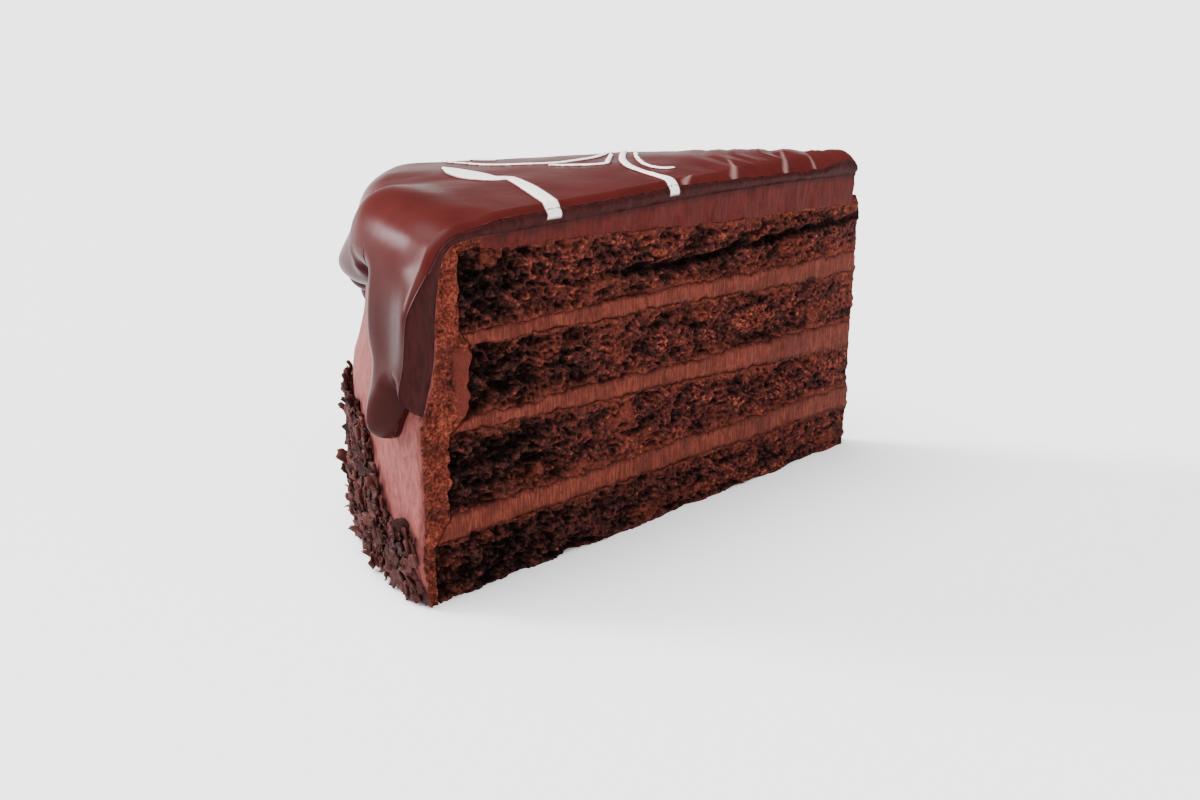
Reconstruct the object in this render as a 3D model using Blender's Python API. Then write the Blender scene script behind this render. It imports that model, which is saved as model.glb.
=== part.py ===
"""A wedge of four-layer chocolate cake, standing on its base as it was cut from the round.

The thin end of the wedge points to +X, the coated rim faces -X, and the two cut
faces look to -Y (the near cut) and +Y (the far cut).

A place in the cake is given as (inward, across, height): inward is the distance
from the rim towards the thin end, measured along the near cut; across runs from 0
at the near cut to 1 at the far cut; height is above the plate. All sizes in metres.
"""

import bisect
import math
import random
from collections import namedtuple

import bmesh
import bpy
from mathutils import Matrix, Vector, noise

# Driving dimensions of the slice
CUT_LENGTH = 0.131
SLICE_ANGLE = math.radians(31.0)
RIM_RADIUS = 0.076
TIP_HALF_WIDTH = 0.0018
TIP_BLUNT = 0.0010
TIP_X = 0.0669
TIP_Y = 0.0021
FAR_SIDE_RISE = 0.020
CROWN = 0.012
GAP = 0.0003

# Each seam between two layers, from the plate up: its height at the rim and at
# the tip, and how deep the coat on the rim is there
SEAMS = (
    (0.0000, 0.0000, 0.0012),
    (0.0125, 0.0104, 0.0012),
    (0.0176, 0.0162, 0.0050),
    (0.0342, 0.0266, 0.0052),
    (0.0368, 0.0336, 0.0100),
    (0.0504, 0.0462, 0.0104),
    (0.0534, 0.0514, 0.0090),
    (0.0684, 0.0628, 0.0086),
)
LAYERS = ("sponge_1", "filling_1", "sponge_2", "filling_2", "sponge_3", "filling_3", "sponge_4")
SEAM_WAVE = 0.0005
SEAM_WAVE_LENGTH = 0.022

# Crags of the torn crumb on a cut face, and the crevice that runs through the top sponge
CRAG_DEPTH = {"sponge": 0.0024, "filling": 0.0004, "coat": 0.0006}
CRAG_PROUD = 0.3
CRAG_SIZE = 0.0055
TIP_ROOM = 0.030
TIP_TEAR = 0.0012
TIP_TEAR_SIZE = 0.004
CREVICE_DEPTH = 0.0022
CREVICE_OPENS = (0.048, 0.060)

# Outline of the frosting coat under the glaze, from the tip over the shoulder and
# down the rim to the plate, as (inward, height)
COAT_OUTLINE = (
    (0.1278, 0.0704),
    (0.1000, 0.0713),
    (0.0700, 0.0713),
    (0.0400, 0.0706),
    (0.0200, 0.0703),
    (0.0095, 0.0699),
    (0.0061, 0.0681),
    (0.0046, 0.0640),
    (0.0036, 0.0580),
    (0.0026, 0.0480),
    (0.0006, 0.0410),
    (-0.0010, 0.0360),
    (-0.0010, 0.0200),
    (-0.0016, 0.0090),
    (-0.0004, 0.0000),
)
SHOULDER_STARTS = 0.100
CORNER = 0.1205

# Glaze: the sheet on top, and the drips it ran into down the rim
GLAZE_THICK = 0.0035
GLAZE_EDGE_ROUND = 0.0042
GLAZE_HEM = 0.0605
SWELL_STARTS = 0.0120

# One drip: the middle of its end and its half widths to the near and the far cut, along
# the rim; its lowest point; how far its ridge stands above the sheet, lower down and at
# the shoulder; how far the ridge reaches on its gentle near side and its steep far side;
# how far it leans to the far side at the shoulder, and how far down it has its full height
Drip = namedtuple("Drip", "middle near far lowest stands at_top gentle steep leans full")
DRIPS = (
    Drip(0.0000, 0.0095, 0.0095, 0.0390, 0.0028, -0.0012, 0.0055, 0.0055, 0.0000, -0.0040),
    Drip(0.0086, 0.0064, 0.0100, 0.0325, 0.0022, 0.0030, 0.0052, 0.0036, 0.0200, 0.0060),
    Drip(0.0400, 0.0170, 0.0150, 0.0548, 0.0028, -0.0014, 0.0120, 0.0120, 0.0000, 0.0060),
    Drip(0.0570, 0.0060, 0.0060, 0.0480, 0.0012, 0.0000, 0.0040, 0.0040, 0.0000, 0.0120),
    Drip(0.0680, 0.0066, 0.0076, 0.0420, 0.0012, 0.0000, 0.0040, 0.0040, 0.0000, 0.0120),
)
DRIP_SQUARE = {"near": 2.2, "far": 1.6}
LEANS_OVER = (0.040, 0.072)
SHOULDER_HEIGHTS = (0.056, 0.068)

# White drizzle on the glaze: points of each stroke as (inward, distance from the near
# cut, width)
DRIZZLES = (
    ((0.0316, 0.0008, 0.0042), (0.0342, 0.0070, 0.0044), (0.0364, 0.0130, 0.0042), (0.0384, 0.0200, 0.0032)),
    ((0.0382, 0.0208, 0.0028), (0.0356, 0.0228, 0.0055), (0.0349, 0.0271, 0.0080), (0.0349, 0.0327, 0.0070),
     (0.0360, 0.0400, 0.0008)),
    ((0.0430, 0.0470, 0.0010), (0.0463, 0.0362, 0.0014), (0.0545, 0.0287, 0.0014), (0.0662, 0.0263, 0.0016),
     (0.0765, 0.0303, 0.0016)),
    ((0.0800, 0.0288, 0.0016), (0.0712, 0.0209, 0.0019), (0.0665, 0.0146, 0.0024), (0.0649, 0.0090, 0.0022),
     (0.0645, 0.0010, 0.0030)),
)
DRIZZLE_STANDS = 0.0006
DRIZZLE_EDGE_STANDS = 0.00027
DRIZZLE_SUNK = 0.0010
DRIZZLE_STEPS = 3
DRIZZLE_CLEAR = 0.0008

# Chocolate flakes pressed on the foot of the rim
FLAKE_SIZE = (0.0056, 0.0024, 0.0009)
FLAKE_TAPER = 0.55
FLAKE_LIFT = 0.0004
FLAKE_TIP_LIFT = 0.0017
FLAKE_PITCH = 0.0040
FLAKE_FOOT = 0.0042
FLAKE_LOW_TOP = 0.0155
FLAKE_HIGH_TOP = 0.0315
FLAKE_RISES = (0.010, 0.026)
FLAKE_EDGE_CLEAR = 0.0022
FLAKE_JITTER = 0.3
FLAKE_LEAN = 0.5
FLAKE_TIP_OUT = (0.05, 0.30)

COLOURS = {
    "sponge": (0.065, 0.016, 0.013),
    "filling": (0.156, 0.036, 0.023),
    "coat": (0.305, 0.091, 0.070),
    "glaze": (0.156, 0.038, 0.034),
}
ROUGHNESS = {"sponge": 0.9, "filling": 0.6, "coat": 0.7, "glaze": 0.3}


def mix(start, end, share):
    return start + (end - start) * share


def smooth_step(value, low, high):
    share = min(max((value - low) / (high - low), 0.0), 1.0)
    return share * share * (3.0 - 2.0 * share)


def rim_distance(across):
    """Distance from the tip to the rim: the rim is rounder than a circle about the tip."""
    beyond = CUT_LENGTH - RIM_RADIUS
    angle = across * SLICE_ANGLE
    return beyond * math.cos(angle) + math.sqrt(RIM_RADIUS**2 - (beyond * math.sin(angle)) ** 2)


RIM_TURN = math.asin(rim_distance(1.0) * math.sin(SLICE_ANGLE) / RIM_RADIUS)
RIM_LENGTH = RIM_RADIUS * RIM_TURN


def slice_point(inward, across, height):
    """The point of the row frame at a place in the cake."""
    reach = rim_distance(across) * (1.0 - inward / CUT_LENGTH)
    angle = (across - 0.5) * SLICE_ANGLE
    rise = 1.0 + FAR_SIDE_RISE * across + CROWN * 4.0 * across * (1.0 - across)
    side = TIP_Y + (2.0 * across - 1.0) * TIP_HALF_WIDTH
    return Vector((TIP_X - reach * math.cos(angle), reach * math.sin(angle) + side, height * rise))


def cut_normal(across):
    """Outward normal of the near cut (across 0) or the far cut (across 1)."""
    side = -1.0 if across == 0.0 else 1.0
    return Vector((math.sin(SLICE_ANGLE / 2.0), side * math.cos(SLICE_ANGLE / 2.0), 0.0))


def torn(point, inward, across, depth):
    """Moves a point of a cut face along its normal: pits, and crumbs that stand proud."""
    pit = 0.5 + 0.5 * noise.noise(point / CRAG_SIZE)
    room = min((CUT_LENGTH - inward) / TIP_ROOM + 0.1, 1.0)
    return point - cut_normal(across) * depth * (pit * pit * (1.0 + CRAG_PROUD) - CRAG_PROUD) * room


def seam_height(seam, inward):
    """Height of a seam, sloping from rim to tip with a slow wave in it."""
    at_rim, at_tip, _ = SEAMS[seam]
    wave = SEAM_WAVE * noise.noise(Vector((inward / SEAM_WAVE_LENGTH, 3.7 * seam, 0.5))) if seam else 0.0
    return mix(at_rim, at_tip, inward / CUT_LENGTH) + wave


def wall_depth(height):
    """Depth of the rim's coat at a height, straight from seam to seam."""
    heights = [seam[0] for seam in SEAMS]
    above = min(max(bisect.bisect_right(heights, height), 1), len(SEAMS) - 1)
    low, high = SEAMS[above - 1], SEAMS[above]
    share = min(max((height - low[0]) / (high[0] - low[0]), 0.0), 1.0)
    return mix(low[2], high[2], share)


def principled(name, colour, roughness):
    material = bpy.data.materials.new(name)
    material.use_nodes = True
    shader = material.node_tree.nodes["Principled BSDF"]
    shader.inputs["Base Color"].default_value = (*colour, 1.0)
    shader.inputs["Roughness"].default_value = roughness
    shader.inputs["Metallic"].default_value = 0.0
    return material


def block(name, counts, place, material=None):
    """A closed solid: the skin of a grid of places, counts steps along, across and up."""
    bm = bmesh.new()
    corners = {}

    def corner(*step):
        if step not in corners:
            corners[step] = bm.verts.new(place(*step))
        return corners[step]

    for axis in range(3):
        one, two = (axis + 1) % 3, (axis + 2) % 3
        for side in (0, counts[axis]):
            for i in range(counts[one]):
                for j in range(counts[two]):
                    ring = []
                    for di, dj in ((0, 0), (1, 0), (1, 1), (0, 1)):
                        step = [0, 0, 0]
                        step[axis], step[one], step[two] = side, i + di, j + dj
                        ring.append(corner(*step))
                    bm.faces.new(ring if side else ring[::-1])
    bmesh.ops.triangulate(bm, faces=bm.faces[:])
    mesh = bpy.data.meshes.new(name)
    bm.to_mesh(mesh)
    bm.free()
    if material:
        mesh.materials.append(material)
    piece = bpy.data.objects.new(name, mesh)
    bpy.context.scene.collection.objects.link(piece)
    return piece


# Sponge and filling layers

LAYER_ALONG = 34
LAYER_ACROSS = 3
LAYER_UP = {"sponge": 4, "filling": 1}


def layer(seam, material):
    name = LAYERS[seam]
    kind = name.split("_")[0]
    counts = (LAYER_ALONG, LAYER_ACROSS, LAYER_UP[kind])
    crevice_step = counts[2] // 2 if seam == len(LAYERS) - 1 else None

    def place(along, across_step, up):
        share_up = up / counts[2]
        across = across_step / counts[1]
        rim_height = mix(SEAMS[seam][0], SEAMS[seam + 1][0], share_up)
        starts = wall_depth(rim_height) + 2.0 * GAP
        inward = mix(starts, CUT_LENGTH - TIP_BLUNT, along / counts[0])
        low = seam_height(seam, inward) + (GAP / 2.0 if seam else 0.0)
        high = seam_height(seam + 1, inward) - GAP / 2.0
        height = mix(low, high, share_up)
        if along == counts[0]:
            inward += TIP_TEAR * noise.noise(Vector((height / TIP_TEAR_SIZE, across, 7.0)))
        point = slice_point(inward, across, height)
        if across in (0.0, 1.0):
            depth = CRAG_DEPTH[kind]
            if up == crevice_step:
                depth += CREVICE_DEPTH * smooth_step(inward, *CREVICE_OPENS)
            point = torn(point, inward, across, depth)
        return point

    return block(name, counts, place, material)


# Frosting coat on the top and the rim


class Outline:
    """A smooth curve through points of two or more numbers, read by the distance along it."""

    STEPS = 16

    def __init__(self, points):
        ends = (
            tuple(2 * a - b for a, b in zip(points[0], points[1])),
            tuple(2 * a - b for a, b in zip(points[-1], points[-2])),
        )
        held = [ends[0], *points, ends[1]]
        self.places = []
        for i in range(1, len(held) - 2):
            for step in range(self.STEPS + (i == len(held) - 3)):
                self.places.append(Vector(self.between(held[i - 1 : i + 3], step / self.STEPS)))
        self.lengths = [0.0]
        for before, after in zip(self.places, self.places[1:]):
            self.lengths.append(self.lengths[-1] + (after - before).length)
        self.total = self.lengths[-1]

    @staticmethod
    def between(four, share):
        """A Hermite span whose slopes allow for how far apart the points are."""
        values = []
        before, start, end, after = four
        span = math.dist(start, end)
        for axis in range(len(start)):
            slope_in = (end[axis] - before[axis]) / (math.dist(before, start) + span) * span
            slope_out = (after[axis] - start[axis]) / (span + math.dist(end, after)) * span
            t = share
            values.append(
                (2 * t**3 - 3 * t**2 + 1) * start[axis]
                + (t**3 - 2 * t**2 + t) * slope_in
                + (3 * t**2 - 2 * t**3) * end[axis]
                + (t**3 - t**2) * slope_out
            )
        return values

    def at(self, distance):
        """Place on the curve, and the outward direction there."""
        distance = min(max(distance, 0.0), self.total)
        i = min(bisect.bisect_right(self.lengths, distance), len(self.lengths) - 1)
        before, after = self.places[i - 1], self.places[i]
        share = (distance - self.lengths[i - 1]) / (self.lengths[i] - self.lengths[i - 1])
        run = (after - before).to_2d().normalized()
        return before.lerp(after, share), Vector((run.y, -run.x))

    def down_to(self, height):
        """Distance at which the rim side of the curve comes down to a height."""
        i = len(self.places) - 1
        while self.places[i - 1].y < height:
            i -= 1
        low, high = self.places[i], self.places[i - 1]
        share = (height - low.y) / (high.y - low.y)
        return mix(self.lengths[i], self.lengths[i - 1], share)


COAT = Outline(COAT_OUTLINE)
COAT_ACROSS = 11
COAT_TOP_STEPS = 15
COAT_SHOULDER_STEPS = 5
COAT_SIDE_HEIGHTS = (0.0615, 0.0534, 0.0504, 0.0436, 0.0368, 0.0342, 0.0290, 0.0230, 0.0176, 0.0125, 0.0065, 0.0)


def coat_rows():
    """Pairs of outer and inner (inward, height), from the tip over to the plate."""
    corner_height = SEAMS[-1][0]
    corner_depth = SEAMS[-1][2]
    shares = [SHOULDER_STARTS / CORNER * i / COAT_TOP_STEPS for i in range(COAT_TOP_STEPS)]
    shares += [mix(SHOULDER_STARTS / CORNER, 1.0, i / COAT_SHOULDER_STEPS) for i in range(COAT_SHOULDER_STEPS + 1)]
    rows = []
    for share in shares:
        outer, _ = COAT.at(share * CORNER)
        inward = mix(COAT_OUTLINE[0][0], corner_depth, share)
        rows.append((tuple(outer), (inward, seam_height(len(SEAMS) - 1, inward) + GAP / 2.0)))
    for height in COAT_SIDE_HEIGHTS:
        outer, _ = COAT.at(mix(CORNER, COAT.total, 1.0 - height / corner_height))
        rows.append((tuple(outer), (wall_depth(height), height)))
    return rows


def frosting_coat(material):
    rows = coat_rows()
    counts = (len(rows) - 1, COAT_ACROSS, 1)

    def place(along, across_step, up):
        inward, height = rows[along][0 if up else 1]
        across = across_step / counts[1]
        point = slice_point(inward, across, height)
        if across in (0.0, 1.0):
            point = torn(point, inward, across, CRAG_DEPTH["coat"])
        return point

    return block("frosting_coat", counts, place, material)


def flake_top(along_rim):
    """Height up to which the flakes were pressed on: low at the near cut, then higher."""
    return mix(FLAKE_LOW_TOP, FLAKE_HIGH_TOP, smooth_step(along_rim, *FLAKE_RISES))


def flake(name, place, turn, rng):
    """One shaved sliver: a flat blade, narrower at its foot, laid on the coat and tipped out."""
    sizes = [size * rng.uniform(0.75, 1.25) for size in FLAKE_SIZE]
    bm = bmesh.new()
    bmesh.ops.create_cube(bm, size=1.0, matrix=Matrix.Diagonal((*sizes, 1.0)))
    for vert in bm.verts:
        if vert.co.x > 0.0:
            vert.co.y *= FLAKE_TAPER
    bmesh.ops.triangulate(bm, faces=bm.faces[:])
    mesh = bpy.data.meshes.new(name)
    bm.to_mesh(mesh)
    bm.free()
    piece = bpy.data.objects.new(name, mesh)
    piece.matrix_world = place @ turn
    return piece


def rim_frame(across, height):
    """A frame on the coat's rim: X along the rim, Y up, Z out of the coat."""
    outer, _ = COAT.at(COAT.down_to(height))
    point = slice_point(outer.x, across, height)
    along = (slice_point(outer.x, across + 0.01, height) - point).normalized()
    out = along.cross(Vector((0.0, 0.0, 1.0))).normalized() * -1.0
    up = Vector((0.0, 0.0, 1.0))
    frame = Matrix((along, up, out)).transposed().to_4x4()
    frame.translation = point
    return frame


def flakes():
    """Slivers over the foot of the rim, on a jittered grid clear of the cuts and the plate."""
    rng = random.Random(11)
    pieces = []
    rows = int((FLAKE_HIGH_TOP - FLAKE_FOOT) / FLAKE_PITCH) + 1
    columns = int((RIM_LENGTH - 2.0 * FLAKE_EDGE_CLEAR) / FLAKE_PITCH) + 1
    for row in range(rows):
        for column in range(columns):
            column_place = column + 0.5 * (row % 2) + rng.uniform(-FLAKE_JITTER, FLAKE_JITTER)
            along_rim = FLAKE_EDGE_CLEAR + column_place * FLAKE_PITCH
            height = max(FLAKE_FOOT + (row + rng.uniform(-FLAKE_JITTER, FLAKE_JITTER)) * FLAKE_PITCH, FLAKE_FOOT)
            lean = rng.gauss(0.0, FLAKE_LEAN)
            tip_out = rng.uniform(*FLAKE_TIP_OUT)
            in_reach = FLAKE_EDGE_CLEAR < along_rim < RIM_LENGTH - FLAKE_EDGE_CLEAR
            if height > flake_top(along_rim) or not in_reach:
                continue
            stand = Matrix.Rotation(math.pi / 2.0 + lean, 4, "Z") @ Matrix.Rotation(-tip_out, 4, "Y")
            lift = Matrix.Translation((0.0, 0.0, FLAKE_LIFT + FLAKE_TIP_LIFT * math.sin(tip_out)))
            place = rim_frame(along_rim / RIM_LENGTH, height)
            pieces.append(flake(f"flake_{len(pieces)}", place, lift @ stand, rng))
    return pieces


def fuse(body, toppings, solver):
    """Joins the toppings to what they lie on, and keeps the one closed body."""
    group = bpy.data.collections.new(body.name + "_toppings")
    for piece in toppings:
        group.objects.link(piece)
    bpy.context.scene.collection.children.link(group)
    union = body.modifiers.new("Union", "BOOLEAN")
    union.operation = "UNION"
    union.operand_type = "COLLECTION"
    union.collection = group
    union.solver = solver
    bpy.context.view_layer.update()
    joined = bpy.data.meshes.new_from_object(body.evaluated_get(bpy.context.evaluated_depsgraph_get()))
    body.modifiers.clear()
    body.data = joined
    for piece in toppings:
        bpy.data.objects.remove(piece)
    bpy.data.collections.remove(group)
    keep_largest(body.data)


def keep_largest(mesh):
    """Drops loose scraps and the skins of sealed pockets, and splits faces into triangles."""
    bm = bmesh.new()
    bm.from_mesh(mesh)
    bmesh.ops.remove_doubles(bm, verts=bm.verts[:], dist=1e-6)
    bmesh.ops.dissolve_degenerate(bm, edges=bm.edges[:], dist=1e-6)
    unseen = set(bm.faces)
    shells = []
    while unseen:
        shell = [unseen.pop()]
        for face in shell:
            neighbours = [other for edge in face.edges if edge.is_manifold for other in edge.link_faces]
            for other in neighbours:
                if other in unseen:
                    unseen.remove(other)
                    shell.append(other)
        shells.append(shell)
    shells.sort(key=len, reverse=True)
    scraps = [face for shell in shells[1:] for face in shell]
    bmesh.ops.delete(bm, geom=scraps, context="FACES")
    bmesh.ops.triangulate(bm, faces=bm.faces[:])
    bm.to_mesh(mesh)
    bm.free()


# Glaze with its drips and drizzle

GLAZE_ACROSS = 26
GLAZE_NEAR_DENSER = 0.35
GLAZE_TOP_STEPS = 12
GLAZE_SHOULDER_STEPS = 5
GLAZE_SIDE_STEPS = 8
GLAZE_HEM_DENSER = 1.35
GLAZE_CUT_LIP = 0.0007
GLAZE_LIP_ENDS = 0.02
GLAZE_TIP_ROUND = 0.0030
GLAZE_TIP_EDGE = 0.25
GLAZE_LEAST = 0.0004
HEM_STEP = 0.0005


def hem_height(along_rim):
    """Where the glaze ends on the rim: the hem, or the round end of a drip below it."""
    lowest = GLAZE_HEM
    for drip in DRIPS:
        side = "near" if along_rim < drip.middle else "far"
        off = abs(along_rim - drip.middle) / getattr(drip, side)
        if off < 1.0:
            hang = (1.0 - off ** DRIP_SQUARE[side]) ** (1.0 / DRIP_SQUARE[side])
            lowest = min(lowest, mix(GLAZE_HEM, drip.lowest, hang))
    return lowest


HEM_POINTS = [(HEM_STEP * i, hem_height(HEM_STEP * i)) for i in range(-8, int(RIM_LENGTH / HEM_STEP) + 8)]


def ridge_stand(drip, distance, along_rim, height):
    """How far a drip's ridge stands above the sheet at a place on the shoulder or the rim."""
    leans = drip.leans * smooth_step(height, *LEANS_OVER)
    off = along_rim - drip.middle - leans
    reach = drip.gentle + 0.5 * leans if off < 0.0 else drip.steep
    swell = smooth_step(distance, CORNER - SWELL_STARTS, CORNER + drip.full)
    stands = mix(drip.stands, drip.at_top, smooth_step(height, *SHOULDER_HEIGHTS))
    return stands * swell * math.exp(-((off / reach) ** 2))


def glaze_stand(distance, along_rim, height):
    """Thickness of the glaze: full on top, ridged down each drip, round at its edges."""
    thick = GLAZE_THICK + sum(ridge_stand(drip, distance, along_rim, height) for drip in DRIPS)
    from_tip = min(distance / GLAZE_TIP_ROUND, 1.0)
    edge = 1.0
    if distance > CORNER - SWELL_STARTS:
        edge = min(math.dist((along_rim, height), point) for point in HEM_POINTS)
    near = min(edge / GLAZE_EDGE_ROUND, 1.0, mix(GLAZE_TIP_EDGE, 1.0, from_tip))
    return max(thick * math.sqrt(1.0 - (1.0 - near) ** 2), GLAZE_LEAST)


def glaze(material):
    top = [SHOULDER_STARTS * i / GLAZE_TOP_STEPS for i in range(GLAZE_TOP_STEPS)]
    shoulder = [mix(SHOULDER_STARTS, CORNER, i / GLAZE_SHOULDER_STEPS) for i in range(GLAZE_SHOULDER_STEPS)]
    counts = (len(top) + len(shoulder) + GLAZE_SIDE_STEPS, GLAZE_ACROSS, 1)

    def place(along, across_step, up):
        share = across_step / counts[1]
        across = mix(share, share * share, GLAZE_NEAR_DENSER)
        along_rim = across * RIM_LENGTH
        if along < len(top) + len(shoulder):
            distance = (top + shoulder)[along]
        else:
            step = (along - len(top) - len(shoulder)) / GLAZE_SIDE_STEPS
            share = 1.0 - (1.0 - step) ** GLAZE_HEM_DENSER
            distance = mix(CORNER, COAT.down_to(hem_height(along_rim)), share)
        under, out = COAT.at(distance)
        stand = GAP
        if up:
            stand += glaze_stand(distance, along_rim, under.y)
            if across in (0.0, 1.0):
                stand -= GLAZE_CUT_LIP * (1.0 - smooth_step(distance, CORNER, CORNER + GLAZE_LIP_ENDS))
        return slice_point(under.x + out.x * stand, across, under.y + out.y * stand)

    return block("glaze", counts, place, material)


def drizzle(name, points):
    """A flattened stroke, sunk into the top of the glaze."""
    steps = DRIZZLE_STEPS * (len(points) - 1)
    line = Outline(points)

    def place(along, side_step, up):
        middle, side = line.at(along / steps * line.total)
        reach = (side_step - 1) * 0.5 * middle.z
        inward = middle.x + side.x * reach
        from_cut = max(middle.y + side.y * reach, DRIZZLE_CLEAR)
        rest = CUT_LENGTH - inward
        angle = math.atan2(from_cut, rest)
        across = angle / SLICE_ANGLE
        inward = CUT_LENGTH * (1.0 - math.hypot(from_cut, rest) / rim_distance(across))
        distance = COAT_OUTLINE[0][0] - inward
        under, out = COAT.at(distance)
        stand = GAP + GLAZE_THICK - DRIZZLE_SUNK
        if up:
            stand = GAP + GLAZE_THICK + (DRIZZLE_STANDS if side_step == 1 else DRIZZLE_EDGE_STANDS)
        return slice_point(under.x + out.x * stand, across, under.y + out.y * stand)

    return block(name, (steps, 2, 1), place, None)


def main():
    for old in list(bpy.data.objects):
        bpy.data.objects.remove(old)

    for seam, name in enumerate(LAYERS):
        kind = name.split("_")[0]
        layer(seam, principled(name, COLOURS[kind], ROUGHNESS[kind]))

    coat = frosting_coat(principled("frosting", COLOURS["coat"], ROUGHNESS["coat"]))
    fuse(coat, flakes(), "EXACT")

    top = glaze(principled("glaze", COLOURS["glaze"], ROUGHNESS["glaze"]))
    strokes = [drizzle(f"drizzle_{i}", points) for i, points in enumerate(DRIZZLES)]
    for stroke in strokes:
        bpy.context.scene.collection.objects.unlink(stroke)
    fuse(top, strokes, "EXACT")


main()
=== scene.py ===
import math
import random
from collections import namedtuple

import bpy
import numpy as np
from mathutils import Matrix, Vector, kdtree, noise


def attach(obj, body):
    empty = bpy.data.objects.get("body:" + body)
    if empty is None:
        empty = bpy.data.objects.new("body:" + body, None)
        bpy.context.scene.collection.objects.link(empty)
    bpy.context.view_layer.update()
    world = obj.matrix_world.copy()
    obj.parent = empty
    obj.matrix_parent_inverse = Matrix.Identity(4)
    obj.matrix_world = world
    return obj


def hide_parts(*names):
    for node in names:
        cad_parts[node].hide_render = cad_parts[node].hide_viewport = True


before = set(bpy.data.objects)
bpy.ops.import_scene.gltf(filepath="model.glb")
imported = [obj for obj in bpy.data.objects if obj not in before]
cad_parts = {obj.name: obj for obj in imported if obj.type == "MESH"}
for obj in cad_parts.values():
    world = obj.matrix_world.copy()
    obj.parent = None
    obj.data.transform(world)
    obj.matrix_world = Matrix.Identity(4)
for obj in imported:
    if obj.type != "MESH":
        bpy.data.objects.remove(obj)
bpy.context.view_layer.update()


# Sponge layers. Four dark chocolate sponges, baked and split, now cut through by the
# knife, which tore the open crumb: lumps stand proud and holes go in by 1 to 4 mm.

# The wedge: its length, its angle, the round of the cake's rim, and where its tip is
CUT_LENGTH = 0.131
SLICE_ANGLE = math.radians(31.0)
RIM_RADIUS = 0.076
TIP_HALF_WIDTH = 0.0018
TIP_BLUNT = 0.0010
TIP_X = 0.0669
TIP_Y = 0.0021
FAR_SIDE_RISE = 0.020
CROWN = 0.012
GAP = 0.0003

# Each seam from the plate up: height at the rim, height at the tip, depth of the rim's coat
SEAMS = (
    (0.0000, 0.0000, 0.0012),
    (0.0125, 0.0104, 0.0012),
    (0.0176, 0.0162, 0.0050),
    (0.0342, 0.0266, 0.0052),
    (0.0368, 0.0336, 0.0100),
    (0.0504, 0.0462, 0.0104),
    (0.0534, 0.0514, 0.0090),
    (0.0684, 0.0628, 0.0086),
)
LAYERS = ("sponge_1", "filling_1", "sponge_2", "filling_2", "sponge_3", "filling_3", "sponge_4")
TOP_SEAM = len(SEAMS) - 1
SEAM_WAVE = 0.0005
SEAM_WAVE_LENGTH = 0.022
SEAM_CRUMBS = ((0.0060, 0.00055), (0.0024, 0.00050), (0.0011, 0.00030))
WALL_CRUMBS = ((0.0040, 0.0010), (0.0013, 0.0006))
WALL_STRAIGHT = 0.0012
WALL_LOOSE = 0.0038

# The tear of the knife, whose pattern differs between the cuts by how far apart they are
CUTS_APART = 31.0
TEAR_DEPTH = {"sponge": 0.0024, "filling": 0.0004, "coat": 0.0006}
TEAR_PROUD = 0.3
TEAR_SIZE = 0.0055
TIP_ROOM = 0.030
TIP_TEARS = ((0.0040, 0.0012), (0.0020, 0.0008), (0.0009, 0.0004))

# Crumb of the torn sponge: holes as (length, height, depth), lumps as (size, height)
HOLES = ((0.0060, 0.0022, 0.0008), (0.0024, 0.0014, 0.0009), (0.0012, 0.0008, 0.0009))
LUMPS = ((0.0013, 0.0004), (0.0008, 0.0004))
GRAINS = ((0.0006, 0.00030),)
HOLE_OPENS = (0.14, 0.44)
DENSER_LEFT = (0.012, 0.045)
DENSER_BY = 0.22
SEAM_RELIEF = 0.35
CREVICE = ((0.045, 0.0588), (0.067, 0.0572), (0.090, 0.0582), (0.128, 0.0600))
CREVICE_HEIGHT = 0.0009
CREVICE_DEPTH = 0.0036
CREVICE_WANDERS = 0.0011
CREVICE_STARTS = (0.044, 0.056)

# Painted shade in the crumb's holes and tears, darker the deeper they go: its amount at the face of
# the cut, the tear's share in it, the depth where it is darkest, and how much darker the crumb is
# towards the rim, between two distances from it
FACE_DARK = 0.26
TEAR_SHARE = 0.35
DARKEST_DEPTH = 0.0024
LEFT_DARK = 0.26
DARKER_LEFT = {0: (0.040, 0.090), 2: (0.016, 0.050), 4: (0.010, 0.050), 6: (0.008, 0.034)}
SMEAR_REACH = 0.13

SPONGE_STEPS = (560, 2, 58)
SPONGE_TONES = (
    (0.0, (0.0018, 0.0009, 0.0009)),
    (0.28, (0.012, 0.0054, 0.0050)),
    (0.50, (0.040, 0.0140, 0.0122)),
    (0.72, (0.100, 0.0215, 0.0165)),
    (1.0, (0.320, 0.0780, 0.0460)),
)
SMEAR_TONES = ((0.25, (0.050, 0.0120, 0.0080)), (0.8, (0.155, 0.0370, 0.0230)))


def mix(start, end, share):
    return start + (end - start) * share


def smooth_step(value, low, high):
    share = np.clip((value - low) / (high - low), 0.0, 1.0)
    return share * share * (3.0 - 2.0 * share)


def rim_distance(across):
    beyond = CUT_LENGTH - RIM_RADIUS
    angle = across * SLICE_ANGLE
    return beyond * np.cos(angle) + np.sqrt(RIM_RADIUS**2 - (beyond * np.sin(angle)) ** 2)


RIM_LENGTH = RIM_RADIUS * math.asin(rim_distance(1.0) * math.sin(SLICE_ANGLE) / RIM_RADIUS)


def slice_points(inward, across, height):
    """Points of the cake: inward from the rim, across from the near cut, above the plate."""
    reach = rim_distance(across) * (1.0 - inward / CUT_LENGTH)
    angle = (across - 0.5) * SLICE_ANGLE
    rise = 1.0 + FAR_SIDE_RISE * across + CROWN * 4.0 * across * (1.0 - across)
    side = TIP_Y + (2.0 * across - 1.0) * TIP_HALF_WIDTH
    places = (TIP_X - reach * np.cos(angle), reach * np.sin(angle) + side, height * rise)
    return np.stack(places, axis=-1)


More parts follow.
